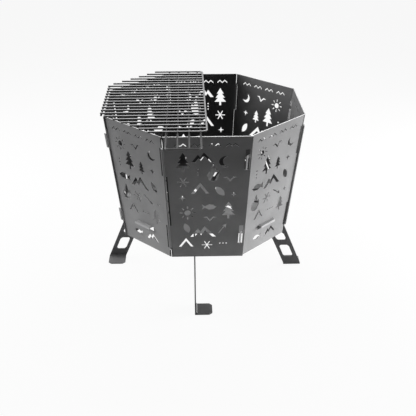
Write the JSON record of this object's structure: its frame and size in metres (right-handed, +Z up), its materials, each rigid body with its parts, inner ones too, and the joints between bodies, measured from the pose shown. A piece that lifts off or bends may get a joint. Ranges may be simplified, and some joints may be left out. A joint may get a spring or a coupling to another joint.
{
  "type": "folding fire pit",
  "caption": "Octagonal fire pit of tapered pierced steel panels hinged in pairs, over an ash plate on a slotted stand, with a half grill and wire handle.",
  "frame": {"origin": "middle of the box round the whole object, on the floor", "axes": "+Z up, -Y towards the grill's handle, +X to the right seen from the handle"},
  "size_m": [0.46, 0.51, 0.4088],
  "materials": {
    "panel_coating": "satin dark heat-proof coat",
    "leg_coating": "satin dark heat-proof coat",
    "plate_coating": "matt dark heat-proof coat",
    "pin_steel": "plain steel",
    "grill_coating": "glossy black coat",
    "handle_coating": "satin black coat"
  },
  "bodies": {
    "stand": {"leg_f": "leg_coating", "leg_r": "leg_coating", "leg_b": "leg_coating", "leg_l": "leg_coating"},
    "bowl": {"ash_plate": "plate_coating", "panel_fl": "panel_coating", "panel_fr": "panel_coating", "panel_br": "panel_coating", "panel_bl": "panel_coating", "hinge_pins": "pin_steel"},
    "door_f": {"panel_f": "panel_coating"},
    "door_r": {"panel_r": "panel_coating"},
    "door_b": {"panel_b": "panel_coating"},
    "door_l": {"panel_l": "panel_coating"},
    "grill": {"grill_rods": "grill_coating", "handle_wire": "handle_coating", "cross_wire_a": "handle_coating", "cross_wire_b": "handle_coating", "frame_wire": "grill_coating", "side_wire": "grill_coating"}
  },
  "joints": [
    {"name": "bowl_lift", "type": "slide", "parent": "stand", "child": "bowl", "axis": [0, 0, 1], "range_m": [0, 0.2]},
    {"name": "grill_lift", "type": "slide", "parent": "bowl", "child": "grill", "axis": [0, 0, 1], "range_m": [0, 0.2]},
    {"name": "fold_f", "type": "hinge", "parent": "bowl", "child": "door_f", "pos_m": [-0.07414, -0.15399, 0.11487], "axis": [0.046, 0.1111, -0.9927], "range_deg": [0, 215]},
    {"name": "fold_r", "type": "hinge", "parent": "bowl", "child": "door_r", "pos_m": [0.17899, -0.04914, 0.11487], "axis": [-0.1111, 0.046, -0.9927], "range_deg": [0, 215]},
    {"name": "fold_b", "type": "hinge", "parent": "bowl", "child": "door_b", "pos_m": [0.07414, 0.20399, 0.11487], "axis": [-0.046, -0.1111, -0.9927], "range_deg": [0, 215]},
    {"name": "fold_l", "type": "hinge", "parent": "bowl", "child": "door_l", "pos_m": [-0.17899, 0.09914, 0.11487], "axis": [0.1111, -0.046, -0.9927], "range_deg": [0, 215]}
  ]
}
